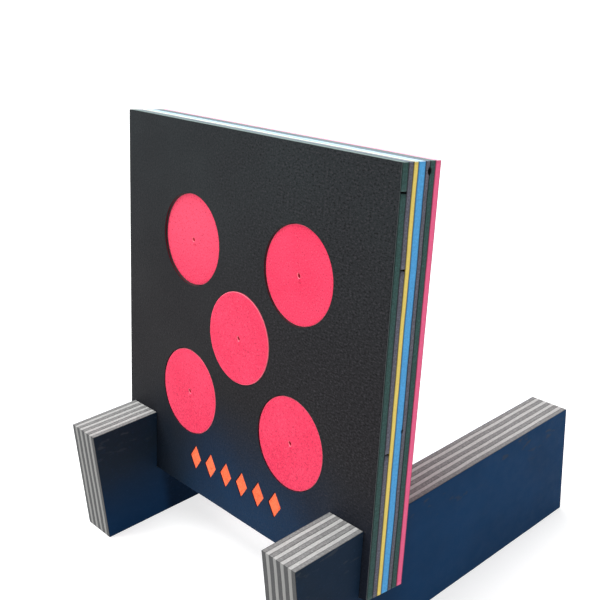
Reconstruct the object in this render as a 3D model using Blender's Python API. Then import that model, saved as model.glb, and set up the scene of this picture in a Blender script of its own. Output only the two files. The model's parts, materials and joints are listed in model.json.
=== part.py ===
"""Square foam archery target that leans back in the slots of two upright foam feet.

The target is a stack of coloured foam layers, glued face to face behind a thin dark skin.
Five round plugs fill five holes through the stack, and each slides out to the front or back.
A row of small inlays lies in cut-outs of the skin. Each foot is a block of narrow foam layers
between two thin facings, with an inclined slot in its top that the target stands in.

Metres, +Z up. The target's front looks along -Y. The origin is on the floor, at the middle of
the target's width and of the feet's length.
"""

import math

import bmesh
import bpy
from mathutils import Matrix, Vector

GLUE_LINE = 0.0003

TARGET_WIDTH = 0.800
TARGET_HEIGHT = 0.800
LEAN = math.radians(8.0)
BUTT_JOINT_GAP = 0.0020

# Target layers, front to back: name, thickness with its glue line, finish, butt joints' heights.
TARGET_LAYERS = (
    ("front_skin", 0.0030, "charcoal_skin", ()),
    ("front_green_layer", 0.0150, "dark_green_foam", (0.751,)),
    ("front_grey_layer", 0.0115, "purple_grey_foam", (0.289, 0.622)),
    ("yellow_layer", 0.0110, "yellow_foam", ()),
    ("blue_layer", 0.0180, "blue_foam", ()),
    ("rear_grey_layer", 0.0100, "purple_grey_foam", ()),
    ("rear_green_layer", 0.0135, "dark_green_foam", ()),
    ("rear_pink_layer", 0.0140, "pink_foam", ()),
)
TARGET_THICKNESS = sum(layer[1] for layer in TARGET_LAYERS)
STRIP_ENDS = {1: ("",), 2: ("_lower", "_upper"), 3: ("_lower", "_middle", "_upper")}

HOLE_RADIUS = 0.0951
PLUG_RADIUS = 0.0945
PLUG_SPREAD = 0.1665
PLUG_PATTERN_HEIGHT = 0.396
PILOT_RADIUS = 0.0030
ROUND_SEGMENTS = 32
PILOT_SEGMENTS = 12

# Plugs: name, steps sideways and up from the pattern's middle, how far its face sits back.
PLUGS = (
    ("plug_upper_left", -1, 1, 0.0055),
    ("plug_upper_right", 1, 1, 0.0030),
    ("plug_centre", 0, 0, -0.0010),
    ("plug_lower_left", -1, -1, 0.0010),
    ("plug_lower_right", 1, -1, 0.0015),
)
# A plug's own layers, front to back: name, thickness with its glue line, finish.
PLUG_LAYERS = (
    ("face", 0.0140, "pink_foam"),
    ("front_core", 0.0340, "blue_foam"),
    ("rear_core", 0.0340, "purple_grey_foam"),
    ("back", 0.0140, "charcoal_skin"),
)

INLAY_COUNT = 6
INLAY_PITCH = 0.054
INLAY_HALF_WIDTH = 0.0190
INLAY_HALF_HEIGHT = 0.0280
INLAY_ROW_X = -0.004
INLAY_ROW_HEIGHT = 0.083
INLAY_THICKNESS = 0.0012
INLAY_GAP = 0.0006

FOOT_LENGTH = 0.795
FOOT_HEIGHT = 0.260
FOOT_CENTRE_X = 0.336
FOOT_FRONT_REACH = 0.144
FOOT_LAYER_COUNT = 9
FOOT_LAYER_PITCH = 0.010
FACING_THICKNESS = 0.0010
FACING_LIFT = 0.0005
SLOT_FLOOR_HEIGHT = 0.123
SLOT_CLEARANCE = 0.0005

TARGET_FRONT_Y = FOOT_FRONT_REACH - FOOT_LENGTH / 2
CUT_OVERRUN = 0.020

# Finishes: base colour (linear RGB) and roughness. All are soft foams, so none is metallic.
FINISHES = {
    "charcoal_skin": ((0.020, 0.021, 0.024), 0.62),
    "dark_green_foam": ((0.030, 0.085, 0.075), 0.85),
    "purple_grey_foam": ((0.105, 0.100, 0.130), 0.85),
    "yellow_foam": ((0.800, 0.560, 0.090), 0.80),
    "blue_foam": ((0.055, 0.340, 0.720), 0.80),
    "pink_foam": ((0.870, 0.060, 0.150), 0.75),
    "orange_foam": ((0.900, 0.130, 0.030), 0.75),
    "mid_grey_foam": ((0.170, 0.170, 0.165), 0.90),
    "light_grey_foam": ((0.500, 0.500, 0.490), 0.90),
    "navy_facing": ((0.010, 0.030, 0.085), 0.45),
}
SMOOTH_ANGLE = math.radians(30)


def clear_scene():
    for obj in list(bpy.data.objects):
        bpy.data.objects.remove(obj, do_unlink=True)


def finish_material(name):
    """The material of one finish, made the first time it is asked for."""
    if name in bpy.data.materials:
        return bpy.data.materials[name]
    colour, roughness = FINISHES[name]
    material = bpy.data.materials.new(name)
    material.use_nodes = True
    shader = material.node_tree.nodes["Principled BSDF"]
    shader.inputs["Base Color"].default_value = (*colour, 1.0)
    shader.inputs["Roughness"].default_value = roughness
    shader.inputs["Metallic"].default_value = 0.0
    return material


def add_empty(name, location, parent=None, rotation_x=0.0):
    empty = bpy.data.objects.new(name, None)
    empty.location = location
    empty.rotation_euler = (rotation_x, 0.0, 0.0)
    empty.parent = parent
    bpy.context.scene.collection.objects.link(empty)
    return empty


def add_object(name, shape, parent, finish=None):
    """A mesh object made from a bmesh, in its parent's coordinates."""
    mesh = bpy.data.meshes.new(name)
    bmesh.ops.recalc_face_normals(shape, faces=shape.faces)
    shape.to_mesh(mesh)
    shape.free()
    obj = bpy.data.objects.new(name, mesh)
    obj.parent = parent
    if finish:
        mesh.materials.append(finish_material(finish))
    bpy.context.scene.collection.objects.link(obj)
    return obj


def as_cutter(obj):
    obj.hide_render = True
    obj.display_type = "WIRE"
    return obj


def block(low, high):
    """A rectangular block between two corners."""
    low, high = Vector(low), Vector(high)
    shape = bmesh.new()
    size = Matrix.Diagonal((*(high - low), 1.0))
    bmesh.ops.create_cube(shape, size=1.0, matrix=Matrix.Translation((low + high) / 2) @ size)
    return shape


def add_cylinder(shape, x, height, front, back, radius, segments):
    """Adds a cylinder whose axis runs through the target's thickness."""
    turned = Matrix.Rotation(math.radians(90), 4, "X")
    place = Matrix.Translation((x, (front + back) / 2, height))
    bmesh.ops.create_cone(
        shape,
        cap_ends=True,
        segments=segments,
        radius1=radius,
        radius2=radius,
        depth=back - front,
        matrix=place @ turned,
    )


def add_lozenge(shape, x, height, front, back, half_width, half_height):
    """Adds a flat four-cornered lozenge that faces along the target's thickness."""
    corners = ((half_width, 0), (0, half_height), (-half_width, 0), (0, -half_height))
    outline = [shape.verts.new((x + dx, front, height + dz)) for dx, dz in corners]
    face = shape.faces.new(outline)
    pushed = bmesh.ops.extrude_face_region(shape, geom=[face])["geom"]
    new_points = [item for item in pushed if isinstance(item, bmesh.types.BMVert)]
    bmesh.ops.translate(shape, verts=new_points, vec=(0, back - front, 0))


def cut(obj, cutter):
    modifier = obj.modifiers.new("cut_" + cutter.name, "BOOLEAN")
    modifier.operation = "DIFFERENCE"
    modifier.solver = "EXACT"
    modifier.object = cutter


def shade_round(obj):
    obj.data.shade_smooth()
    obj.data.set_sharp_from_angle(angle=SMOOTH_ANGLE)


def plug_centre(step_x, step_up):
    return step_x * PLUG_SPREAD, PLUG_PATTERN_HEIGHT + step_up * PLUG_SPREAD


def inlay_centres():
    first = INLAY_ROW_X - INLAY_PITCH * (INLAY_COUNT - 1) / 2
    return [first + INLAY_PITCH * index for index in range(INLAY_COUNT)]


def hole_cutter(target):
    """One cutter with the five plug holes."""
    shape = bmesh.new()
    for _, step_x, step_up, _ in PLUGS:
        x, height = plug_centre(step_x, step_up)
        back = TARGET_THICKNESS + CUT_OVERRUN
        add_cylinder(shape, x, height, -CUT_OVERRUN, back, HOLE_RADIUS, ROUND_SEGMENTS)
    return as_cutter(add_object("hole_cutter", shape, target))


def recess_cutter(target):
    """One cutter with the skin's openings for the inlays."""
    shape = bmesh.new()
    half_width = INLAY_HALF_WIDTH + INLAY_GAP
    half_height = INLAY_HALF_HEIGHT + INLAY_GAP
    for x in inlay_centres():
        front, back = -CUT_OVERRUN, CUT_OVERRUN
        add_lozenge(shape, x, INLAY_ROW_HEIGHT, front, back, half_width, half_height)
    return as_cutter(add_object("recess_cutter", shape, target))


def make_target_layers(target):
    holes = hole_cutter(target)
    recesses = recess_cutter(target)
    front = 0.0
    for name, thickness, finish, joints in TARGET_LAYERS:
        back = front + thickness - GLUE_LINE
        edges = [0.0, *joints, TARGET_HEIGHT]
        for index, ending in enumerate(STRIP_ENDS[len(edges) - 1]):
            low = edges[index] + (BUTT_JOINT_GAP / 2 if index else 0.0)
            is_top = index == len(edges) - 2
            high = edges[index + 1] - (0.0 if is_top else BUTT_JOINT_GAP / 2)
            corner_low = (-TARGET_WIDTH / 2, front, low)
            corner_high = (TARGET_WIDTH / 2, back, high)
            layer = add_object(name + ending, block(corner_low, corner_high), target, finish)
            cut(layer, holes)
            if name == "front_skin":
                cut(layer, recesses)
        front += thickness


def make_inlays(target):
    """Lozenges that lie at the bottom of the skin's openings."""
    back = TARGET_LAYERS[0][1] - GLUE_LINE
    for number, x in enumerate(inlay_centres(), start=1):
        shape = bmesh.new()
        front = back - INLAY_THICKNESS
        height = INLAY_ROW_HEIGHT
        add_lozenge(shape, x, height, front, back, INLAY_HALF_WIDTH, INLAY_HALF_HEIGHT)
        add_object(f"inlay_{number}", shape, target, "orange_foam")


def make_plug(target, name, step_x, step_up, set_back):
    """One plug, on an empty at its hole's axis. Its face layer has a pilot hole in the middle."""
    x, height = plug_centre(step_x, step_up)
    axis = add_empty(name + "_axis", (x, set_back, height), target)
    face_back = PLUG_LAYERS[0][1] - GLUE_LINE
    pilot = bmesh.new()
    add_cylinder(pilot, 0, 0, -CUT_OVERRUN, face_back + CUT_OVERRUN, PILOT_RADIUS, PILOT_SEGMENTS)
    pilot_cutter = as_cutter(add_object(name + "_pilot_cutter", pilot, axis))
    front = 0.0
    for layer_name, thickness, finish in PLUG_LAYERS:
        shape = bmesh.new()
        back = front + thickness - GLUE_LINE
        add_cylinder(shape, 0, 0, front, back, PLUG_RADIUS, ROUND_SEGMENTS)
        layer = add_object(f"{name}_{layer_name}", shape, axis, finish)
        if layer_name == "face":
            cut(layer, pilot_cutter)
        shade_round(layer)
        front += thickness


def slot_cutter(target):
    """The inclined slot, which follows the target's thickness and passes through both feet."""
    low = (-TARGET_WIDTH, -SLOT_CLEARANCE, -SLOT_CLEARANCE)
    high = (TARGET_WIDTH, TARGET_THICKNESS + SLOT_CLEARANCE, TARGET_HEIGHT)
    return as_cutter(add_object("slot_cutter", block(low, high), target))


def make_foot(side, centre_x, slot):
    """One foot, on an empty at the slot's front corner."""
    base = Vector((centre_x, TARGET_FRONT_Y, SLOT_FLOOR_HEIGHT))
    foot = add_empty(side + "_foot_axis", base)
    front, back = -FOOT_LENGTH / 2 - base.y, FOOT_LENGTH / 2 - base.y
    top = FOOT_HEIGHT - base.z
    half_stack = FOOT_LAYER_COUNT * FOOT_LAYER_PITCH / 2
    for index in range(FOOT_LAYER_COUNT):
        left = -half_stack + index * FOOT_LAYER_PITCH + GLUE_LINE / 2
        right = left + FOOT_LAYER_PITCH - GLUE_LINE
        finish = "light_grey_foam" if index % 2 else "mid_grey_foam"
        shape = block((left, front, -base.z), (right, back, top))
        cut(add_object(f"{side}_foot_layer_{index + 1}", shape, foot, finish), slot)
    outward = math.copysign(1.0, centre_x)
    for ending, sign in (("outer", outward), ("inner", -outward)):
        near = half_stack + GLUE_LINE / 2
        far = near + FACING_THICKNESS
        left, right = sorted((sign * near, sign * far))
        shape = block((left, front, FACING_LIFT - base.z), (right, back, top))
        facing = add_object(f"{side}_foot_{ending}_facing", shape, foot, "navy_facing")
        cut(facing, slot)


def main():
    clear_scene()
    corner = (0.0, TARGET_FRONT_Y, SLOT_FLOOR_HEIGHT)
    target = add_empty("target_axis", corner, rotation_x=-LEAN)
    make_target_layers(target)
    make_inlays(target)
    for plug in PLUGS:
        make_plug(target, *plug)
    slot = slot_cutter(target)
    make_foot("left", -FOOT_CENTRE_X, slot)
    make_foot("right", FOOT_CENTRE_X, slot)


main()
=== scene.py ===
"""The looks of the foam archery target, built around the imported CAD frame.

Every CAD node is replaced by a finer piece of the same size: cut foam layers with softened,
slightly uneven edges, a pebbled skin, plugs with a dimpled pilot hole, and feet with thin
navy film on their long sides. Metres, in the frame's own coordinates.
"""

import json
import math

import bmesh
import bpy
from mathutils import Matrix, Vector, noise
from mathutils.geometry import delaunay_2d_cdt

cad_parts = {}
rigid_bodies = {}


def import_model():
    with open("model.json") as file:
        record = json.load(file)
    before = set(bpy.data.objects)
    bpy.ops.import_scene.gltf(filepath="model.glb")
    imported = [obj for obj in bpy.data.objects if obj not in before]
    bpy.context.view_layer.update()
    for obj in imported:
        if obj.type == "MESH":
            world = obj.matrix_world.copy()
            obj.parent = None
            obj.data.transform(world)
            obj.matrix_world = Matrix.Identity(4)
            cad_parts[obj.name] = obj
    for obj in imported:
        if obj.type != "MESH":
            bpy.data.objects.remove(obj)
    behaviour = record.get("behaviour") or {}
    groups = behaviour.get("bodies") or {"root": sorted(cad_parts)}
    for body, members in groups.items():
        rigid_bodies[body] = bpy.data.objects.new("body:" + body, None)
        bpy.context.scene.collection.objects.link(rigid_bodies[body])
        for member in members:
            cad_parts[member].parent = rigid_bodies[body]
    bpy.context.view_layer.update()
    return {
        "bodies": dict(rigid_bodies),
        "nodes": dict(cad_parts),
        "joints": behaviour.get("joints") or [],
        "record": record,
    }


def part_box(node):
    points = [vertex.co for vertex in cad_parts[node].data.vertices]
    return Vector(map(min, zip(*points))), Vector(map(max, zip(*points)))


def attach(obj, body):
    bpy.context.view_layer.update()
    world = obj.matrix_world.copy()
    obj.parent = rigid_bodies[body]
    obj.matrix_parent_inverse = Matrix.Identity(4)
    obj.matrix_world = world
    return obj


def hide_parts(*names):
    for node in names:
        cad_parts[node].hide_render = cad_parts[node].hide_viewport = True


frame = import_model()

MM = 0.001
TARGET_BODY = "target"
SIDES = ("left", "right")
FOOT_LAYER_COUNT = 9
PLUG_NAMES = [name for name in frame["bodies"] if name.startswith("plug_")]
PLUG_LAYERS = ("face", "front_core", "rear_core", "back")
INLAY_NAMES = sorted(name for name in frame["nodes"] if name.startswith("inlay_"))
SLOT_OF = {part["node"]: part["material_slot"] for part in frame["record"]["subparts"]}

# Target layers as pieces of one outline each, front to back.
TARGET_LAYERS = (
    "front_skin",
    "front_green_layer_lower",
    "front_green_layer_upper",
    "front_grey_layer_lower",
    "front_grey_layer_middle",
    "front_grey_layer_upper",
    "yellow_layer",
    "blue_layer",
    "rear_grey_layer",
    "rear_green_layer",
    "rear_pink_layer",
)

EDGE_STEP = 9 * MM
FACE_STEP = 11 * MM
CIRCLE_SEGMENTS = 96
CORNER_RADIUS = 1.5 * MM
FOAM_ROUNDING = 0.7 * MM
FOOT_ROUNDING = 0.45 * MM
FILM_ROUNDING = 0.25 * MM
FILM_INSET = 0.5 * MM
ARC_STEPS = 3
SIDE_RINGS = 3
# Each outline is drawn in by this much, so that its waves stay within the CAD piece.
EDGE_INSET = 0.26 * MM
HOLE_CLEARANCE = 0.6 * MM
GRID_MARGIN = 4 * MM
LOZENGE_ROUNDING = 1.2 * MM
LOZENGE_STEP = 5 * MM
LEAST_MITRE = 0.5

# Noise: how far apart seeds lie, and the lengths of slow and quick waves along a cut edge.
SEED_OFFSETS = (17.31, 5.17, 3.71)
SLOW_EDGE_WAVE = 0.11
QUICK_EDGE_WAVE = 0.014
SLOW_DEPTH_SHARE = 0.3

# Meshing: the triangulation keeps what is inside the outline, and both merge nearby points.
KEEP_INSIDE = 1
TRIANGULATION_TOLERANCE = 1e-9
WELD_DISTANCE = 1e-7
FACE_AREA_WEIGHT = 100

# Axes of a piece's own coordinates.
U_AXIS, V_AXIS, W_AXIS = 0, 1, 2


# ---------------------------------------------------------------- the frame's own axes

def joint_axis(name):
    found = next(joint for joint in frame["joints"] if joint["name"] == name)
    return Vector(found["axis"]).normalized()


ACROSS = Vector((1.0, 0.0, 0.0))
OUTWARD = joint_axis(PLUG_NAMES[0] + "_slide")
UPWARD = -joint_axis("left_foot_slide")


def spans(node, *axes):
    """Lowest and highest reach of a CAD node along each axis."""
    points = [vertex.co for vertex in frame["nodes"][node].data.vertices]
    found = []
    for axis in axes:
        along = [point.dot(axis) for point in points]
        found.append((min(along), max(along)))
    return found


def target_matrix():
    """Local axes of the target: U across, V up its face, W out of its front."""
    (_, _), (low_up, _), (_, front) = spans("front_skin", ACROSS, UPWARD, OUTWARD)
    columns = Matrix((ACROSS, UPWARD, OUTWARD)).transposed().to_4x4()
    columns.translation = UPWARD * low_up + OUTWARD * front
    return columns


TARGET = target_matrix()
RIGHT_EDGE_U = spans("front_skin", ACROSS)[0][1]
TARGET_FRONT_Y = TARGET.translation.y

# Local axes of a foot: U along its length, V up, W across.
FOOT = Matrix(((0, 0, 1, 0), (1, 0, 0, 0), (0, 1, 0, 0), (0, 0, 0, 1)))


def local_spans(node, matrix):
    """A CAD node's reach along U, V and W of a piece's own axes."""
    back = matrix.inverted()
    points = [back @ vertex.co for vertex in frame["nodes"][node].data.vertices]
    return [(min(p[i] for p in points), max(p[i] for p in points)) for i in range(3)]


def hole_of(plug):
    """Middle and radius of the hole that a plug fills, in the target's own axes."""
    (left, right), (low, high), _ = local_spans(plug + "_face", TARGET)
    return (left + right) / 2, (low + high) / 2, (right - left) / 2 + HOLE_CLEARANCE


HOLES = [hole_of(name) for name in PLUG_NAMES]


# ---------------------------------------------------------------- outlines

def densified(points, step=EDGE_STEP):
    """The closed outline with its long edges divided."""
    made = []
    for index, point in enumerate(points):
        following = Vector(points[(index + 1) % len(points)])
        start = Vector(point)
        count = max(1, round((following - start).length / step))
        made += [start.lerp(following, i / count) for i in range(count)]
    return made


def rounded(corners, radius=CORNER_RADIUS):
    """The closed outline with each corner rounded, whether it points out or in."""
    made = []
    for index, corner in enumerate(corners):
        here = Vector(corner)
        before = (here - Vector(corners[index - 1])).normalized()
        after = (Vector(corners[(index + 1) % len(corners)]) - here).normalized()
        turn = before.angle_signed(after)
        reach = radius * math.tan(abs(turn) / 2)
        start, end = here - before * reach, here + after * reach
        for k in range(ARC_STEPS + 1):
            t = k / ARC_STEPS
            made.append((1 - t) ** 2 * start + 2 * t * (1 - t) * here + t ** 2 * end)
    return made


def arc(centre_u, centre_v, radius, start, end, count=None):
    """Points on a circle from one angle to another, evenly spaced."""
    count = count or max(2, math.ceil(CIRCLE_SEGMENTS * abs(end - start) / math.tau))
    angles = [start + (end - start) * i / count for i in range(count + 1)]
    return [Vector((centre_u + radius * math.cos(a), centre_v + radius * math.sin(a))) for a in angles]


def disc_outline(centre_u, centre_v, radius, hole=False):
    points = arc(centre_u, centre_v, radius, 0.0, -math.tau if hole else math.tau)
    return points[:-1]


def lozenge_outline(centre_u, centre_v, half_width, half_height, hole=False):
    corners = [(half_width, 0), (0, half_height), (-half_width, 0), (0, -half_height)]
    placed = [(centre_u + u, centre_v + v) for u, v in corners]
    points = densified(rounded(placed, LOZENGE_ROUNDING), LOZENGE_STEP)
    return points[::-1] if hole else points


def notched_edge(level, left, right, along):
    """A level edge of a strip, from left to right (along = 1) or back, round the holes it meets."""
    met = [hole for hole in HOLES if abs(hole[1] - level) < hole[2]]
    made = []
    for centre_u, centre_v, radius in sorted(met, key=lambda hole: along * hole[0]):
        rise = level - centre_v
        half = math.sqrt(radius ** 2 - rise ** 2)
        start = math.atan2(rise, -along * half)
        end = math.atan2(rise, along * half)
        while end > start:
            end -= math.tau
        made += arc(centre_u, centre_v, radius, start, end)
    first, last = (left, right) if along > 0 else (right, left)
    return [Vector((first, level)), *made, Vector((last, level))]


def strip_loops(left, right, low, high, step):
    """The outline of a target layer between two heights, and the holes that lie inside it."""
    outline = notched_edge(low, left, right, 1) + notched_edge(high, left, right, -1)
    loops = [densified(outline, step)]
    for centre_u, centre_v, radius in HOLES:
        if low < centre_v - radius and centre_v + radius < high:
            loops.append(disc_outline(centre_u, centre_v, radius, hole=True))
    return loops


# ---------------------------------------------------------------- slabs

def outward_normals(points):
    """Mitred normals of a closed outline, pointing away from its material."""
    edges = []
    for index, point in enumerate(points):
        step = (points[(index + 1) % len(points)] - point).normalized()
        edges.append(Vector((step.y, -step.x)))
    made = []
    for index, edge in enumerate(edges):
        before = edges[index - 1]
        made.append((before + edge) / max(LEAST_MITRE, 1 + before.dot(edge)))
    return made


def side_profile(low, high, rounding):
    """Heights and insets of the rings that make a slab's side, from its lower to its upper face."""
    arcs = [math.radians(90) * k / ARC_STEPS for k in range(ARC_STEPS + 1)]
    rings = [(low + rounding * (1 - math.cos(a)), rounding * (1 - math.sin(a))) for a in arcs]
    inner_low, inner_high = low + rounding, high - rounding
    for k in range(1, SIDE_RINGS + 1):
        rings.append((inner_low + (inner_high - inner_low) * k / (SIDE_RINGS + 1), 0.0))
    for a in reversed(arcs):
        rings.append((high - rounding * (1 - math.cos(a)), rounding * (1 - math.sin(a))))
    return rings


def wobble(u, v, w, seed, wavelength):
    shift = Vector([seed * offset for offset in SEED_OFFSETS])
    return noise.noise(Vector((u, v, w)) / wavelength + shift)


def edge_wave(seed, long=0.22 * MM, short=0.12 * MM, inset=0.0):
    """How far a cut edge wanders in or out along its length."""
    def wave(u, v, w):
        slow = wobble(u, v, w * SLOW_DEPTH_SHARE, seed, SLOW_EDGE_WAVE)
        quick = wobble(u, v, w, seed + 3, QUICK_EDGE_WAVE)
        return long * slow + short * quick - inset
    return wave


def grid_points(loops, step=FACE_STEP, margin=GRID_MARGIN):
    """Points inside the first outline and outside the others, on a staggered grid."""
    outline = loops[0]
    low_u, high_u = min(p.x for p in outline), max(p.x for p in outline)
    low_v, high_v = min(p.y for p in outline), max(p.y for p in outline)
    columns, rows = math.floor((high_u - low_u) / step), math.floor((high_v - low_v) / step)
    made = []
    for row in range(1, rows + 1):
        for column in range(1, columns + 1):
            u = low_u + (column + 0.5 * (row % 2)) * (high_u - low_u) / (columns + 1)
            v = low_v + row * (high_v - low_v) / (rows + 1)
            if clear_of(loops, u, v, margin):
                made.append(Vector((u, v)))
    return made


def clear_of(loops, u, v, margin):
    point = Vector((u, v))
    if not inside(loops[0], u, v) or any(inside(hole, u, v) for hole in loops[1:]):
        return False
    return all((point - other).length > margin for loop in loops for other in loop)


def inside(loop, u, v):
    odd = False
    for index, point in enumerate(loop):
        before = loop[index - 1]
        if (point.y > v) != (before.y > v):
            crossing = (before.x - point.x) * (v - point.y) / (before.y - point.y) + point.x
            odd ^= u < crossing
    return odd


def cap_faces(rings, extra, index_of_extra):
    """Triangles of a face between its outline rings, through extra points inside it."""
    points, edges, numbers = [], [], []
    for ring in rings:
        start = len(points)
        for number, place in ring:
            points.append(Vector(place[:2]))
            numbers.append(number)
        count = len(ring)
        edges += [(start + i, start + (i + 1) % count) for i in range(count)]
    points += [Vector(point) for point in extra]
    numbers += [index_of_extra + i for i in range(len(extra))]
    found = delaunay_2d_cdt(points, edges, [], KEEP_INSIDE, TRIANGULATION_TOLERANCE)
    corners, _, faces, sources, _, _ = found
    owner = [numbers[source[0]] for source in sources]
    holes = [[Vector(place[:2]) for _, place in ring] for ring in rings[1:]]
    made = []
    for face in faces:
        middle = sum((corners[i] for i in face), Vector((0.0, 0.0))) / len(face)
        if not any(inside(hole, *middle) for hole in holes):
            made.append(tuple(owner[i] for i in face))
    return made


def side_faces(starts, count):
    """Four-sided faces between rings of points, given where each ring starts."""
    made = []
    for a, b in zip(starts, starts[1:]):
        for i in range(count):
            j = (i + 1) % count
            made.append((a + i, a + j, b + j, b + i))
    return made


def slab(name, loops, low, high, rounding, wave, matrix, relief=None, relief_low=None, **more):
    """A sheet with softened edges. relief and relief_low lift its upper and lower face.

    more may hold warp, which moves every point, and extra, more points on a face with relief.
    Its glue attribute is 1 on the rounded rims and 2 on a face without relief, which is stuck to
    the next layer. Its bore attribute is 1 on the walls of its holes.
    """
    profile = side_profile(low, high, rounding)
    last = len(profile) - 1
    places, faces, glue, bore = [], [], [], []
    first_ring, last_ring = [], []
    for loop in loops:
        normals = outward_normals(loop)
        starts = []
        for level, (w, inset) in enumerate(profile):
            starts.append(len(places))
            share = level / last
            is_rim = 0 < min(level, last - level) <= ARC_STEPS
            is_stuck = (level == 0 and not relief_low) or (level == last and not relief)
            glue += [2.0 if is_stuck else float(is_rim)] * len(loop)
            bore += [float(loop is not loops[0] and level < last - ARC_STEPS)] * len(loop)
            for point, normal in zip(loop, normals):
                shift = wave(point.x, point.y, w) - inset - EDGE_INSET
                u, v = point + normal * shift
                lifted = w
                if relief:
                    lifted += relief(u, v) * share
                if relief_low:
                    lifted += relief_low(u, v) * (1 - share)
                places.append(Vector((u, v, lifted)))
        faces += side_faces(starts, len(loop))
        for ring, start in ((first_ring, starts[0]), (last_ring, starts[-1])):
            ring.append([(start + i, places[start + i]) for i in range(len(loop))])
    for rings, lift, w in ((first_ring, relief_low, low), (last_ring, relief, high)):
        inner = [*grid_points(loops), *more.get("extra", ())] if lift else []
        start = len(places)
        places += [Vector((p.x, p.y, w + lift(p.x, p.y))) for p in inner]
        glue += [0.0] * len(inner)
        bore += [0.0] * len(inner)
        faces += cap_faces(rings, inner, start)
    if more.get("warp"):
        places = [more["warp"](place) for place in places]
    return piece_of(name, places, faces, matrix, {"glue": glue, "bore": bore})


def piece_of(name, places, faces, matrix, attributes):
    """A closed mesh object with its faces turned out and its normals weighted by face size."""
    mesh = bpy.data.meshes.new(name)
    mesh.from_pydata(places, [], faces)
    for label, values in attributes.items():
        mesh.attributes.new(label, "FLOAT", "POINT").data.foreach_set("value", values)
    shape = bmesh.new()
    shape.from_mesh(mesh)
    bmesh.ops.remove_doubles(shape, verts=shape.verts, dist=WELD_DISTANCE)
    bmesh.ops.recalc_face_normals(shape, faces=shape.faces)
    shape.to_mesh(mesh)
    shape.free()
    mesh.shade_smooth()
    obj = bpy.data.objects.new(name, mesh)
    obj.matrix_world = matrix
    bpy.context.scene.collection.objects.link(obj)
    weighted = obj.modifiers.new("weighted_normals", "WEIGHTED_NORMAL")
    weighted.keep_sharp = True
    weighted.weight = FACE_AREA_WEIGHT
    return obj


def stand_for(obj, node, body, finish=None):
    """The piece replaces a CAD node, moves with its body and takes its material slot's finish."""
    obj.data.materials.append(finish or FINISHES[SLOT_OF[node]])
    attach(obj, body)
    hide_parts(node)
    return obj


# ---------------------------------------------------------------- materials

SHEEN_ROUGHNESS = 0.6
# Sockets of a Mix node that hold its two colours, and its colour result.
FIRST_COLOUR, SECOND_COLOUR, MIXED_COLOUR = 6, 7, 2

# Heights on the skin, in metres up its face: where a painted reflection makes it paler, where
# the painted reflection turns it from charcoal to navy or blue, and where painted shade darkens
# its lower left corner.
SKIN_PALER_FROM, SKIN_PALER_TO = 0.35, 0.80
SKIN_NAVY_FULL, SKIN_NAVY_NONE = 0.02, 0.28
SKIN_SHADE_FULL, SKIN_SHADE_NONE = 0.06, 0.15
# The skin's cut edge is paler in its last 2 mm, behind its moulded face: partly grey foam, partly
# a painted highlight where the edge catches light.
CUT_EDGE_REACH = 2.0 * MM
SKIN_BACK, SKIN_MIDDLE = -1.4 * MM, -0.7 * MM

# Painted shade on the walls of the skin's openings and the plugs' holes near the face, dark
# maroon with painted red light from the pink plugs.
PAINTED_WALL_SHADE = (0.110, 0.005, 0.016)
WALL_SHADE_BACK, WALL_SHADE_FRONT = -9 * MM, -7 * MM

# How far behind the target's front edge the painted shadow on the left foot's film is fully dark.
TARGET_SHADOW_FADE = 0.03


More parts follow.
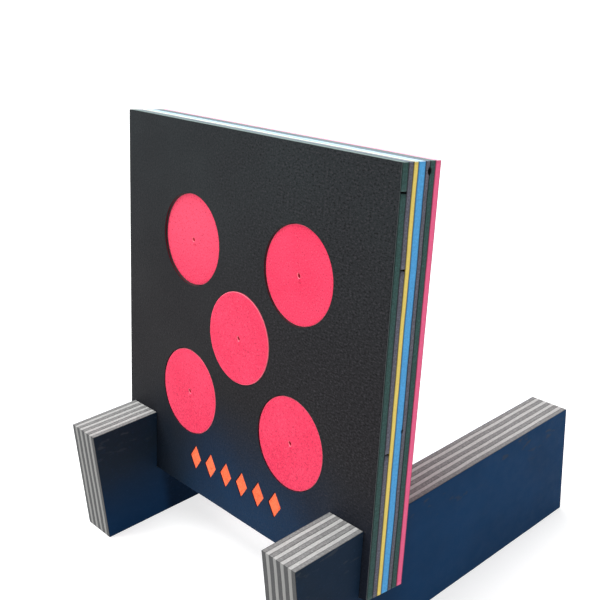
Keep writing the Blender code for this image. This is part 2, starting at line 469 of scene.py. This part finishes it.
class Shader:
    """A material's node tree, with short calls to add and join its nodes."""

    def __init__(self, name, roughness, specular=0.5, sheen=0.0):
        self.material = bpy.data.materials.new(name)
        self.material.use_nodes = True
        self.tree = self.material.node_tree
        self.principled = self.tree.nodes["Principled BSDF"]
        self.set(self.principled, Roughness=roughness, Metallic=0.0)
        self.principled.inputs["Specular IOR Level"].default_value = specular
        self.principled.inputs["Sheen Weight"].default_value = sheen
        self.principled.inputs["Sheen Roughness"].default_value = SHEEN_ROUGHNESS
        self.place = self.add("TexCoord").outputs["Object"]

    def set(self, node, **values):
        for name, value in values.items():
            node.inputs[name.replace("_", " ")].default_value = value

    def add(self, kind, **settings):
        node = self.tree.nodes.new("ShaderNode" + kind)
        for name, value in settings.items():
            setattr(node, name, value)
        return node

    def join(self, source, target):
        self.tree.links.new(source, target)

    def stretched(self, scale):
        """The object's coordinates, stretched by a factor along each axis."""
        mapping = self.add("Mapping")
        mapping.inputs["Scale"].default_value = scale
        self.join(self.place, mapping.inputs["Vector"])
        return mapping.outputs["Vector"]

    def noise(self, scale, detail=3.0, roughness=0.5, stretch=None):
        node = self.add("TexNoise")
        self.set(node, Scale=scale, Detail=detail, Roughness=roughness)
        place = self.stretched(stretch) if stretch else self.place
        self.join(place, node.inputs["Vector"])
        return node.outputs["Fac"]

    def cells(self, scale, feature="F1", stretch=None):
        node = self.add("TexVoronoi", feature=feature)
        self.set(node, Scale=scale)
        place = self.stretched(stretch) if stretch else self.place
        self.join(place, node.inputs["Vector"])
        return node.outputs["Distance"]

    def ranged(self, value, low, high, to_low=0.0, to_high=1.0):
        node = self.add("MapRange", clamp=True)
        node.interpolation_type = "SMOOTHSTEP"
        limits = {"From Min": low, "From Max": high, "To Min": to_low, "To Max": to_high}
        for name, limit in limits.items():
            node.inputs[name].default_value = limit
        self.join(value, node.inputs["Value"])
        return node.outputs["Result"]

    def math(self, operation, first, second):
        node = self.add("Math", operation=operation)
        for value, socket in zip((first, second), node.inputs):
            if isinstance(value, float):
                socket.default_value = value
            else:
                self.join(value, socket)
        return node.outputs["Value"]

    def blended(self, factor, first, second):
        """A colour between two, each given as a colour or as another node's output."""
        node = self.add("Mix", data_type="RGBA")
        self.join(factor, node.inputs["Factor"])
        for value, number in ((first, FIRST_COLOUR), (second, SECOND_COLOUR)):
            if isinstance(value, tuple):
                node.inputs[number].default_value = (*value, 1.0)
            else:
                self.join(value, node.inputs[number])
        return node.outputs[MIXED_COLOUR]

    def attribute(self, name):
        """One of the mesh's own attributes, as slab() writes them."""
        return self.add("Attribute", attribute_name=name).outputs["Fac"]

    def along(self, axis):
        """One of the object's own coordinates, in metres."""
        node = self.add("SeparateXYZ")
        self.join(self.place, node.inputs["Vector"])
        return node.outputs[axis]

    def colour(self, value):
        self.join(value, self.principled.inputs["Base Color"])

    def roughness(self, value):
        self.join(value, self.principled.inputs["Roughness"])

    def bump(self, *layers):
        """Bumps from (height, strength, distance in metres), each on top of the last."""
        normal = None
        for height, strength, distance in layers:
            node = self.add("Bump")
            self.set(node, Strength=strength, Distance=distance)
            self.join(height, node.inputs["Height"])
            if normal:
                self.join(normal, node.inputs["Normal"])
            normal = node.outputs["Normal"]
        self.join(normal, self.principled.inputs["Normal"])


def scaled(colour, factor):
    return tuple(min(1.0, channel * factor) for channel in colour)


def scaled_cool(colour, factor, green_gain=1.28, blue_gain=1.26):
    """Scaled, with a little more green and blue."""
    red, green, blue = colour
    return scaled((red, green * green_gain, blue * blue_gain), factor)


def lifted(colour, amount):
    return tuple(min(1.0, channel + amount) for channel in colour)


def cut_foam(name, colour, contrast=0.3, glue_share=0.75, masks=()):
    """Closed-cell foam as a blade leaves it: open cells, faint blade marks, darker at the glue lines,
    and near-black on glued faces, partly glue and partly painted shade in the gaps between layers.

    Each mask is (axis, low, high, colour at high, share), for faces painted paler or darker as
    painted highlight and painted shade.
    """
    shader = Shader(name, roughness=0.92, specular=0.06, sheen=0.1)
    share = min(1.0, contrast * 3)
    cloudy = shader.noise(24.0, detail=4.0)
    mottle = shader.noise(230.0, detail=3.0, roughness=0.6)
    speckle = shader.noise(560.0, detail=2.0, roughness=0.7)
    cells = shader.cells(700.0)
    marks = shader.noise(210.0, detail=2.0, stretch=(1.0, 0.12, 1.0))
    dark, bright = scaled(colour, 1 - contrast), scaled(colour, 1 + contrast)
    duller = scaled(colour, 1 - contrast * 0.3)
    tone = shader.blended(shader.ranged(cloudy, 0.32, 0.68), duller, colour)
    tone = shader.blended(shader.ranged(mottle, 0.36, 0.50, share, 0.0), tone, dark)
    tone = shader.blended(shader.ranged(mottle, 0.50, 0.66, 0.0, share), tone, bright)
    tone = shader.blended(shader.ranged(speckle, 0.50, 0.75, 0.0, share * 0.6), tone, bright)
    tone = shader.blended(shader.ranged(cells, 0.45, 0.9, 0.0, share), tone, dark)
    for axis, low, high, other, strength in masks:
        masked = shader.ranged(shader.along(axis), low, high, 0.0, strength)
        tone = shader.blended(masked, tone, other)
    # Painted shade, dark maroon, on hole walls just behind the skin.
    behind_skin = shader.ranged(shader.along(W_AXIS), WALL_SHADE_BACK, WALL_SHADE_FRONT)
    shaded_wall = shader.math("MULTIPLY", shader.attribute("bore"), behind_skin)
    tone = shader.blended(shaded_wall, tone, PAINTED_WALL_SHADE)
    glue = shader.attribute("glue")
    at_rim = shader.ranged(glue, 0.35, 1.0, 0.0, glue_share)
    tone = shader.blended(at_rim, tone, scaled(colour, 0.25))
    # Glued faces show only where layers gape: near-black, partly glue and partly painted shade.
    tone = shader.blended(shader.ranged(glue, 1.0, 2.0), tone, scaled(colour, 0.04))
    shader.colour(tone)
    shader.roughness(shader.ranged(cloudy, 0.3, 0.7, 0.86, 0.97))
    shader.bump((cells, 0.3, 0.5 * MM), (marks, 0.25, 0.4 * MM), (mottle, 0.35, 0.5 * MM))
    return shader.material


def smooth_foam(name, colour, glow, roughness=0.75):
    """Foam with its moulded skin left on: a fine even grain, a paler rim, partly its paler cut edge
    and partly a painted highlight, and paler high on the left.
    """
    shader = Shader(name, roughness, specular=0.06, sheen=0.05)
    cloudy = shader.noise(9.0, detail=3.0)
    grain = shader.noise(330.0, detail=4.0, roughness=0.7)
    dents = shader.cells(420.0, feature="SMOOTH_F1")
    tone = shader.blended(shader.ranged(cloudy, 0.3, 0.7), colour, glow)
    high_up = shader.ranged(shader.along(V_AXIS), 0.42, 0.62)
    leftward = shader.ranged(shader.along(U_AXIS), -0.15, 0.05, 1.0, 0.0)
    faded = shader.math("MULTIPLY", high_up, leftward)
    tone = shader.blended(faded, tone, lifted(glow, 0.024))
    tone = shader.blended(shader.ranged(grain, 0.34, 0.48, 1.0, 0.0), tone, scaled(colour, 0.62))
    tone = shader.blended(shader.ranged(grain, 0.52, 0.66), tone, lifted(glow, 0.03))
    # The rim: partly the foam's paler cut edge, partly a painted highlight where it catches light.
    rim = shader.ranged(shader.attribute("glue"), 0.3, 1.0, 0.0, 0.6)
    tone = shader.blended(rim, tone, lifted(glow, 0.22))
    # Painted shade on the walls of the pilot hole.
    tone = shader.blended(shader.attribute("bore"), tone, scaled(colour, 0.85))
    shader.colour(tone)
    shader.roughness(shader.ranged(grain, 0.3, 0.7, roughness - 0.08, roughness + 0.1))
    shader.bump((dents, 0.2, 0.35 * MM), (grain, 0.35, 0.45 * MM))
    return shader.material


def pebbled_skin(name, charcoal, navy, blue, cut_edge):
    """A leathery charcoal skin: paler high up and navy to blue low down as painted reflection, and
    paler where it is cut, partly grey foam and partly a painted highlight.
    """
    shader = Shader(name, roughness=0.55, specular=0.05)
    pebbles = shader.cells(300.0, feature="SMOOTH_F1")
    creases = shader.cells(120.0, feature="DISTANCE_TO_EDGE", stretch=(1.0, 1.6, 1.0))
    grain = shader.noise(215.0, detail=4.0, roughness=0.75, stretch=(0.8, 1.3, 1.0))
    cloudy = shader.noise(5.0, detail=3.0)
    high_up = shader.ranged(shader.along(V_AXIS), SKIN_PALER_FROM, SKIN_PALER_TO)
    low_down = shader.ranged(shader.along(V_AXIS), SKIN_NAVY_FULL, SKIN_NAVY_NONE, 1.0, 0.0)
    lowest = shader.ranged(shader.along(V_AXIS), SKIN_SHADE_FULL, SKIN_SHADE_NONE, 1.0, 0.0)
    from_left = shader.ranged(shader.along(U_AXIS), -0.36, -0.22, 0.3, 1.0)
    from_right = shader.ranged(shader.along(U_AXIS), 0.18, 0.36, 1.0, 0.25)
    inboard = shader.math("MULTIPLY", from_left, from_right)
    low_tone = shader.blended(shader.ranged(shader.along(U_AXIS), -0.23, -0.08), navy, blue)
    rightward = shader.ranged(shader.along(U_AXIS), -0.30, 0.30, 0.35, 1.0)
    higher = shader.ranged(shader.along(V_AXIS), 0.0, 0.35, 0.3, 1.0)
    grainy = shader.math("MULTIPLY", rightward, higher)
    # Painted reflection: paler and cooler high up, navy to blue low down.
    tone = shader.blended(high_up, charcoal, scaled_cool(charcoal, 1.25))
    tone = shader.blended(shader.math("MULTIPLY", low_down, inboard), tone, low_tone)
    # Painted shade darkens the lower left corner, beside the left foot.
    leftmost = shader.ranged(shader.along(U_AXIS), -0.36, -0.16, 0.9, 0.0)
    tone = shader.blended(shader.math("MULTIPLY", lowest, leftmost), tone, scaled(navy, 0.45))
    tone = shader.blended(shader.ranged(cloudy, 0.3, 0.7, 0.0, 0.35), tone, scaled(charcoal, 1.25))
    pits = shader.math("MULTIPLY", shader.ranged(grain, 0.34, 0.48, 1.0, 0.0), grainy)
    tone = shader.blended(pits, tone, scaled(charcoal, 0.2))
    specks = shader.math("MULTIPLY", shader.ranged(grain, 0.52, 0.66), grainy)
    tone = shader.blended(specks, tone, scaled(charcoal, 2.7))
    # The cut edge: partly grey foam, partly a painted highlight.
    rim_start, rim_full = RIGHT_EDGE_U - CUT_EDGE_REACH, RIGHT_EDGE_U - CUT_EDGE_REACH / 2
    at_rim = shader.ranged(shader.along(U_AXIS), rim_start, rim_full)
    below = shader.ranged(shader.along(W_AXIS), SKIN_BACK, SKIN_MIDDLE, 1.0, 0.0)
    tone = shader.blended(shader.math("MULTIPLY", at_rim, below), tone, cut_edge)
    # Painted shade, dark maroon, on the walls of the skin's holes and openings.
    tone = shader.blended(shader.attribute("bore"), tone, PAINTED_WALL_SHADE)
    shader.colour(tone)
    shader.roughness(shader.ranged(cloudy, 0.3, 0.7, 0.5, 0.65))
    shader.bump((pebbles, 0.5, 0.8 * MM), (creases, 0.25, 0.6 * MM), (grain, 0.6, 0.8 * MM))
    return shader.material


def wrinkled_film(name, upper, lower, behind):
    """Thin navy film. Painted reflection and shade make it greyer high up in front, bluer low down,
    and bluest behind the target, and a painted highlight lies on its ridges high up.

    On the left foot a painted shadow of the target darkens it under and behind the target.
    """
    shader = Shader(name, roughness=0.5, specular=0.025)
    wrinkles = shader.noise(34.0, detail=4.0, roughness=0.6)
    ridges = shader.noise(30.0, detail=3.0, stretch=(1.0, 2.4, 1.0))
    grain = shader.noise(240.0, detail=3.0, roughness=0.65)
    cloudy = shader.noise(7.0, detail=2.0)
    low_down = shader.ranged(shader.along(V_AXIS), 0.0, 0.20, 1.0, 0.0)
    rearward = shader.ranged(shader.along(U_AXIS), -0.25, -0.08)
    # Painted reflection and shade: greyer high up, bluer low down, bluest behind the target.
    tone = shader.blended(low_down, upper, lower)
    tone = shader.blended(rearward, tone, behind)
    tone = shader.blended(shader.ranged(cloudy, 0.35, 0.65, 0.0, 0.3), tone, scaled(behind, 0.6))
    # Painted shadow of the target on the left foot's film.
    on_left = shader.ranged(shader.along(W_AXIS), -0.1, 0.0, 0.75, 0.0)
    in_target_shadow = shader.ranged(shader.along(U_AXIS), TARGET_FRONT_Y, TARGET_FRONT_Y + TARGET_SHADOW_FADE)
    shaded = shader.math("MULTIPLY", on_left, in_target_shadow)
    tone = shader.blended(shaded, tone, scaled(behind, 0.12))
    # Painted highlight on the ridges high up.
    high_up = shader.ranged(shader.along(V_AXIS), 0.16, 0.24)
    lit_ridges = shader.math("MULTIPLY", shader.ranged(ridges, 0.60, 0.70, 0.0, 0.6), high_up)
    tone = shader.blended(lit_ridges, tone, lifted(upper, 0.02))
    tone = shader.blended(shader.ranged(grain, 0.55, 0.75, 0.0, 0.4), tone, lifted(lower, 0.012))
    shader.colour(tone)
    shader.roughness(shader.ranged(wrinkles, 0.3, 0.7, 0.42, 0.58))
    shader.bump((wrinkles, 0.2, 2.0 * MM), (ridges, 0.2, 2.0 * MM), (grain, 0.25, 0.3 * MM))
    return shader.material


SKIN_LOW, SKIN_HIGH = spans("front_skin", UPWARD)[0]
TOP_EDGE_V = SKIN_HIGH - SKIN_LOW
FOOT_LOW, FOOT_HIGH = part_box("left_foot_layer_1")
# How far below an end face a mask begins and is full.
MASK_START = 1.4 * MM
TOP_MASK_FULL = 0.5 * MM
END_MASK_FULL = 0.6 * MM


def painted_top_highlight(colour, share):
    """The top edge, painted paler: a painted highlight of the strong light from above."""
    return ((V_AXIS, TOP_EDGE_V - MASK_START, TOP_EDGE_V - TOP_MASK_FULL, colour, share),)


def painted_end_shade(colour, share):
    """Painted shade on the sawn ends of a foot, which are darker than its top."""
    near, far = FOOT_LOW.y, FOOT_HIGH.y
    return (
        (U_AXIS, near + MASK_START, near + END_MASK_FULL, colour, share),
        (U_AXIS, far - MASK_START, far - END_MASK_FULL, colour, share),
    )


FINISHES = {
    "charcoal_skin": pebbled_skin(
        "charcoal_skin_look",
        charcoal=(0.0138, 0.0132, 0.0146),
        navy=(0.0032, 0.0113, 0.0238),
        blue=(0.0028, 0.0215, 0.0580),
        cut_edge=(0.070, 0.082, 0.084),
    ),
    "dark_green_foam": cut_foam(
        "dark_green_foam_look",
        (0.024, 0.066, 0.060),
        contrast=0.35,
        masks=painted_top_highlight((0.23, 0.30, 0.29), 0.75),
    ),
    "purple_grey_foam": cut_foam(
        "purple_grey_foam_look",
        (0.098, 0.095, 0.122),
        contrast=0.35,
        masks=painted_top_highlight((0.28, 0.33, 0.41), 0.75),
    ),
    "yellow_foam": cut_foam(
        "yellow_foam_look",
        (0.700, 0.530, 0.120),
        contrast=0.14,
        masks=painted_top_highlight((0.82, 0.90, 0.84), 0.8),
    ),
    "blue_foam": cut_foam(
        "blue_foam_look",
        (0.066, 0.310, 0.610),
        contrast=0.20,
        masks=painted_top_highlight((0.62, 0.82, 0.90), 0.75),
    ),
    "pink_foam": smooth_foam("pink_foam_look", (0.700, 0.027, 0.082), (0.760, 0.039, 0.100)),
    "orange_foam": smooth_foam("orange_foam_look", (0.880, 0.120, 0.040), (0.950, 0.160, 0.060)),
    "mid_grey_foam": cut_foam(
        "mid_grey_foam_look",
        (0.185, 0.185, 0.183),
        contrast=0.30,
        glue_share=0.35,
        masks=painted_end_shade((0.038, 0.039, 0.040), 0.85),
    ),
    "light_grey_foam": cut_foam(
        "light_grey_foam_look",
        (0.370, 0.370, 0.362),
        contrast=0.20,
        glue_share=0.35,
        masks=painted_end_shade((0.200, 0.198, 0.190), 0.85),
    ),
    "navy_facing": wrinkled_film(
        "navy_facing_look",
        upper=(0.0112, 0.0182, 0.0286),
        lower=(0.003, 0.021, 0.060),
        behind=(0.0055, 0.033, 0.090),
    ),
}
# The target's rear layer has a cut top edge, unlike the plugs' smooth pink foam.
CUT_PINK = cut_foam(
    "cut_pink_foam_look",
    (0.740, 0.100, 0.220),
    contrast=0.12,
    masks=painted_top_highlight((0.90, 0.62, 0.74), 0.7),
)


# ---------------------------------------------------------------- the target

LONG_SWELL, SHORT_SWELL = 0.17, 0.05
SHORT_SWELL_SHARE = 0.4
INLAY_GAP = 0.6 * MM
INLAY_WAVE, INLAY_QUICK_WAVE = 0.1 * MM, 0.05 * MM
INLAY_SWELL = 0.1 * MM


def face_relief(seed, height=0.22 * MM):
    """Low swells of a glued sheet that was never quite flat."""
    def relief(u, v):
        short = SHORT_SWELL_SHARE * wobble(u, v, 0, seed + 1, SHORT_SWELL)
        return height * (wobble(u, v, 0, seed, LONG_SWELL) + short)
    return relief


def inlay_holes():
    """The skin's openings, a little larger than the inlays in them."""
    made = []
    for name in INLAY_NAMES:
        (left, right), (low, high), _ = local_spans(name, TARGET)
        half_width, half_height = (right - left) / 2 + INLAY_GAP, (high - low) / 2 + INLAY_GAP
        middle_u, middle_v = (left + right) / 2, (low + high) / 2
        made.append(lozenge_outline(middle_u, middle_v, half_width, half_height, hole=True))
    return made


# Where two layers have come apart at the right edge: the layers before and behind the gap, the
# gap's middle height and half its height, and how wide each layer gapes.
GAPS = (
    ("rear_grey_layer", "rear_green_layer", 0.783, 0.006, 4.0 * MM),
    ("blue_layer", "rear_grey_layer", 0.326, 0.004, 1.6 * MM),
)
GAP_DEPTH = 22 * MM
GAP_STEP = 2.5 * MM
JOINT_INSET = 0.8 * MM
# The wandering seams: wavelengths along U, V and W, and how far a seed moves W's noise.
SEAM_WAVELENGTHS = (0.07, 0.05, 0.028)
SEAM_SEED_STEP = 2.3


def wavering(low, high, height, seed):
    """Shifts glued layers together, by less towards the stack's two faces, so that seams wander."""
    along_u, along_v, along_w = SEAM_WAVELENGTHS

    def warp(place):
        u, v, w = place
        inner = max(0.0, math.sin(math.pi * (w - low) / (high - low))) ** 0.5
        field = noise.noise(Vector((u / along_u + seed, v / along_v, w / along_w + SEAM_SEED_STEP * seed)))
        return Vector((u, v, w + height * inner * field))
    return warp


# The target's layers between its rear layer and its skin wander; those two faces stay flat.
SEAM_WAVER = wavering(low=-93 * MM, high=-3 * MM, height=0.9 * MM, seed=4.0)


def gaping(node):
    """Wavers a layer, and bends its face away from its neighbour where the two have come apart."""
    (_, right), _, (back, front) = local_spans(node, TARGET)
    middle_w = (back + front) / 2
    mine = [gap for gap in GAPS if node in gap[:2]]

    def warp(place):
        u, v, w = SEAM_WAVER(place)
        for before, _, middle_v, half_length, opening in mine:
            along = abs(v - middle_v) / half_length
            faces_gap = w < middle_w if node == before else w > middle_w
            inward = 1 - (right - u) / GAP_DEPTH
            if along < 1 and faces_gap and inward > 0:
                opened = opening * inward * math.sqrt(1 - along ** 2)
                w += opened if node == before else -opened
        return Vector((u, v, w))
    return warp


def make_target():
    _, (bottom, top), _ = local_spans("front_skin", TARGET)
    for seed, node in enumerate(TARGET_LAYERS):
        (left, right), (low, high), (back, front) = local_spans(node, TARGET)
        low += JOINT_INSET if low > bottom + JOINT_INSET else 0
        high -= JOINT_INSET if high < top - JOINT_INSET else 0
        is_gaping = any(node in gap[:2] for gap in GAPS)
        loops = strip_loops(left, right, low, high, GAP_STEP if is_gaping else EDGE_STEP)
        is_skin, is_rear = node == "front_skin", node == "rear_pink_layer"
        if is_skin:
            loops += inlay_holes()
        obj = slab(
            node + ("_sheet" if is_skin else "_foam"),
            loops,
            back,
            front,
            FOAM_ROUNDING,
            edge_wave(seed),
            TARGET,
            relief=face_relief(seed) if is_skin else None,
            relief_low=face_relief(seed) if is_rear else None,
            warp=None if is_skin else gaping(node),
        )
        stand_for(obj, node, TARGET_BODY, CUT_PINK if is_rear else None)


def make_inlays():
    for seed, node in enumerate(INLAY_NAMES):
        (left, right), (low, high), (back, front) = local_spans(node, TARGET)
        middle_u, middle_v = (left + right) / 2, (low + high) / 2
        loops = [lozenge_outline(middle_u, middle_v, (right - left) / 2, (high - low) / 2)]
        wave = edge_wave(seed + 30, INLAY_WAVE, INLAY_QUICK_WAVE)
        swells = face_relief(seed + 30, INLAY_SWELL)
        obj = slab(node + "_foam", loops, back, front, FILM_ROUNDING, wave, TARGET, relief=swells)
        stand_for(obj, node, TARGET_BODY)


# ---------------------------------------------------------------- the plugs

PILOT_HALF_WIDTH = 3.1 * MM
PILOT_HALF_HEIGHT = 4.6 * MM
PILOT_TILT = math.radians(38)
PILOT_SEGMENTS = 24
DIMPLE_RINGS = (6.5 * MM, 8 * MM, 9.5 * MM, 11 * MM, 13 * MM, 16 * MM)
DIMPLE_RING_POINTS = 20
DIMPLE_DEPTH, DIMPLE_WIDTH = 1.0 * MM, 6.5 * MM
LIP_HEIGHT, LIP_WIDTH = 2.4 * MM, 3.2 * MM
LIP_RIGHT, LIP_DOWN = 2.5 * MM, 9.0 * MM
PLUG_SWELL = 0.15 * MM
PLUG_FACE_ROUNDING = 1.4 * MM
PLUG_WAVE, PLUG_QUICK_WAVE = 0.12 * MM, 0.22 * MM


def pilot_outline(centre_u, centre_v):
    """The torn, slanted oval that a screw leaves in soft foam."""
    made = []
    for k in range(PILOT_SEGMENTS):
        angle = -math.tau * k / PILOT_SEGMENTS
        across, along = PILOT_HALF_WIDTH * math.cos(angle), PILOT_HALF_HEIGHT * math.sin(angle)
        u = across * math.cos(PILOT_TILT) + along * math.sin(PILOT_TILT)
        v = along * math.cos(PILOT_TILT) - across * math.sin(PILOT_TILT)
        made.append(Vector((centre_u - u, centre_v + v)))
    return made[::-1]


def dimple(centre_u, centre_v, seed):
    """A plug's face: pushed in round its pilot hole, with a torn lip below it."""
    swells = face_relief(seed, PLUG_SWELL)

    def relief(u, v):
        along_u, along_v = u - centre_u, v - centre_v
        away = math.hypot(along_u, along_v)
        dip = -DIMPLE_DEPTH * math.exp(-((away / DIMPLE_WIDTH) ** 2))
        lip_away = math.hypot(along_u - LIP_RIGHT, along_v + LIP_DOWN)
        lip = LIP_HEIGHT * math.exp(-((lip_away / LIP_WIDTH) ** 2))
        return dip + lip + swells(u, v)
    return relief


def dimple_points(centre_u, centre_v):
    made = []
    for radius in DIMPLE_RINGS:
        made += arc(centre_u, centre_v, radius, 0.0, math.tau, DIMPLE_RING_POINTS)[:-1]
    return made


def make_plug(seed, name):
    for layer in PLUG_LAYERS:
        node = f"{name}_{layer}"
        (left, right), (low, high), (back, front) = local_spans(node, TARGET)
        middle_u, middle_v, radius = (left + right) / 2, (low + high) / 2, (right - left) / 2
        loops = [disc_outline(middle_u, middle_v, radius)]
        is_face = layer == "face"
        if is_face:
            loops.append(pilot_outline(middle_u, middle_v))
        obj = slab(
            node + "_foam",
            loops,
            back,
            front,
            PLUG_FACE_ROUNDING if is_face else FOAM_ROUNDING,
            edge_wave(seed + 40, PLUG_WAVE, PLUG_QUICK_WAVE),
            TARGET,
            relief=dimple(middle_u, middle_v, seed) if is_face else None,
            extra=dimple_points(middle_u, middle_v) if is_face else (),
        )
        stand_for(obj, node, name)


# ---------------------------------------------------------------- the feet

SLOT_CLEARANCE = 0.5 * MM
FOOT_SEAM_WAVE = 1.6 * MM
FOOT_WAVE, FOOT_QUICK_WAVE = 0.16 * MM, 0.07 * MM
FACING_WAVE, FACING_QUICK_WAVE = 0.1 * MM, 0.04 * MM
# Loose film: its swells, and creases as thin lines of a slower noise, squeezed along V.
FILM_SWELL, FILM_SWELL_LENGTH = 0.22 * MM, 0.12
CREASE_HEIGHT, CREASE_LENGTH = 0.20 * MM, 0.075
CREASE_SQUEEZE = 1.6
CREASE_SHARPNESS = 0.06


def slot_corners():
    """The slot's four corners, back top round to front top, in a foot's own axes."""
    _, _, (back_w, _) = local_spans("rear_pink_layer", TARGET)
    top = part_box("left_foot_layer_1")[1].z
    base = TARGET.translation
    made = []
    for w in (SLOT_CLEARANCE, back_w - SLOT_CLEARANCE):
        floor = base + OUTWARD * w - UPWARD * SLOT_CLEARANCE
        rise = (top - floor.z) / UPWARD.z
        mouth = floor + UPWARD * rise
        made.append(((mouth.y, mouth.z), (floor.y, floor.z)))
    (front_top, front_floor), (back_top, back_floor) = made
    return [back_top, back_floor, front_floor, front_top]


def foot_outline(node, rounding=CORNER_RADIUS):
    low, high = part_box(node)
    ends = [(low.y, low.z), (high.y, low.z), (high.y, high.z)]
    corners = ends + slot_corners() + [(low.y, high.z)]
    return [densified(rounded(corners, rounding))]


def film_relief(seed, outward):
    """Swells and a few long creases of film that isn't glued down everywhere."""
    def relief(u, v):
        swell = FILM_SWELL * wobble(u, v, 0, seed, FILM_SWELL_LENGTH)
        ridge = abs(wobble(u, v * CREASE_SQUEEZE, 0, seed + 5, CREASE_LENGTH))
        crease = CREASE_HEIGHT * math.exp(-((ridge / CREASE_SHARPNESS) ** 2))
        return outward * (swell + crease)
    return relief


def make_foot(side):
    body = f"{side}_foot"
    stack_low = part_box(f"{side}_foot_layer_1")[0].x
    stack_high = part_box(f"{side}_foot_layer_{FOOT_LAYER_COUNT}")[1].x
    waver = wavering(stack_low, stack_high, FOOT_SEAM_WAVE, 7.0 if side == "left" else 9.0)
    for index in range(1, FOOT_LAYER_COUNT + 1):
        node = f"{side}_foot_layer_{index}"
        low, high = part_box(node)
        seed = index + (60 if side == "left" else 80)
        wave = edge_wave(seed, FOOT_WAVE, FOOT_QUICK_WAVE)
        loops = foot_outline(node)
        obj = slab(node + "_foam", loops, low.x, high.x, FOOT_ROUNDING, wave, FOOT, warp=waver)
        stand_for(obj, node, body)
    for index, ending in enumerate(("outer", "inner")):
        node = f"{side}_foot_{ending}_facing"
        low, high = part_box(node)
        faces_right = (side == "right") == (ending == "outer")
        creased = film_relief(index + (100 if side == "left" else 110), 1 if faces_right else -1)
        obj = slab(
            node + "_film",
            foot_outline(node),
            low.x,
            high.x,
            FILM_ROUNDING,
            edge_wave(index + 90, FACING_WAVE, FACING_QUICK_WAVE, FILM_INSET),
            FOOT,
            relief=creased if faces_right else None,
            relief_low=None if faces_right else creased,
        )
        stand_for(obj, node, body)


# ---------------------------------------------------------------- floor, light and camera

FLOOR_SEGMENTS, FLOOR_RADIUS = 96, 60.0
FLOOR_DROP = 0.4 * MM
FLOOR_GLOW = 0.70
FLOOR_DARKER, FLOOR_LIGHTER = (0.44, 0.44, 0.44), (0.46, 0.46, 0.46)

# The sky is bright near the horizon and dim above it, so that the sun shades the feet.
SKY_COLOUR = (0.94, 0.97, 1.0, 1.0)
SKY_FADE = {"From Min": 0.32, "From Max": 0.55, "To Min": 1.15, "To Max": 0.22}
SUN_ENERGY = 4.6
SUN_SPREAD = math.radians(50)
TOWARDS_SUN = (-0.38, -0.12, 1.0)


def make_floor():
    bpy.ops.mesh.primitive_circle_add(
        vertices=FLOOR_SEGMENTS, radius=FLOOR_RADIUS, fill_type="NGON"
    )
    floor = bpy.context.object
    floor.name = "studio_floor"
    floor.location = (0.0, 0.0, -FLOOR_DROP)
    shader = Shader("studio_floor_paint", roughness=0.9, specular=0.1)
    white = (1.0, 1.0, 1.0, 1.0)
    shader.set(shader.principled, Emission_Strength=FLOOR_GLOW, Emission_Color=white)
    shader.colour(shader.blended(shader.noise(3.0), FLOOR_DARKER, FLOOR_LIGHTER))
    floor.data.materials.append(shader.material)


def aimed_area(name, place, aim, size, energy):
    """A square lamp of some size, turned to shine at a point."""
    data = bpy.data.lights.new(name, "AREA")
    data.shape = "SQUARE"
    data.size = size
    data.energy = energy
    light = bpy.data.objects.new(name, data)
    light.location = place
    light.rotation_euler = (Vector(aim) - Vector(place)).to_track_quat("-Z", "Y").to_euler()
    bpy.context.scene.collection.objects.link(light)


def make_light():
    world = bpy.data.worlds.new("studio")
    world.use_nodes = True
    background = world.node_tree.nodes["Background"]
    background.inputs["Color"].default_value = SKY_COLOUR
    place = world.node_tree.nodes.new("ShaderNodeTexCoord")
    parts = world.node_tree.nodes.new("ShaderNodeSeparateXYZ")
    fade = world.node_tree.nodes.new("ShaderNodeMapRange")
    for name, limit in SKY_FADE.items():
        fade.inputs[name].default_value = limit
    world.node_tree.links.new(place.outputs["Generated"], parts.inputs["Vector"])
    world.node_tree.links.new(parts.outputs["Z"], fade.inputs["Value"])
    world.node_tree.links.new(fade.outputs["Result"], background.inputs["Strength"])
    bpy.context.scene.world = world
    overhead = bpy.data.lights.new("overhead_light", "SUN")
    overhead.energy = SUN_ENERGY
    overhead.angle = SUN_SPREAD
    light = bpy.data.objects.new("overhead_light", overhead)
    light.rotation_euler = (-Vector(TOWARDS_SUN)).to_track_quat("-Z", "Y").to_euler()
    bpy.context.scene.collection.objects.link(light)
    aimed_area("key_light", place=(-1.9, -2.6, 2.6), aim=(0.0, 0.0, 0.45), size=1.2, energy=25)


LENS, SENSOR_WIDTH = 56.0, 36.0
LENS_SHIFT = (-0.1, 0.067)
FAR_CLIP = 200.0
CAMERA_PLACE = (1.400, -1.193, 1.251)
VIEW_AZIMUTH = math.radians(46.54)
VIEW_ELEVATION = math.radians(-23.75)
VIEW_ROLL = math.radians(-1.95)


def make_camera():
    """The camera looks along an azimuth from +Y towards -X, and down."""
    data = bpy.data.cameras.new("camera")
    data.lens = LENS
    data.sensor_width = SENSOR_WIDTH
    data.shift_x, data.shift_y = LENS_SHIFT
    data.clip_end = FAR_CLIP
    camera = bpy.data.objects.new("camera", data)
    level = math.cos(VIEW_ELEVATION)
    ahead = Vector((
        -math.sin(VIEW_AZIMUTH) * level,
        math.cos(VIEW_AZIMUTH) * level,
        math.sin(VIEW_ELEVATION),
    ))
    turned = ahead.to_track_quat("-Z", "Y").to_matrix() @ Matrix.Rotation(VIEW_ROLL, 3, "Z")
    camera.matrix_world = Matrix.Translation(CAMERA_PLACE) @ turned.to_4x4()
    bpy.context.scene.collection.objects.link(camera)
    bpy.context.scene.camera = camera


make_camera()
make_light()
make_floor()
make_target()
make_inlays()
for number, plug_name in enumerate(PLUG_NAMES):
    make_plug(number, plug_name)
for foot_side in SIDES:
    make_foot(foot_side)

bpy.context.scene.view_settings.view_transform = "Standard"
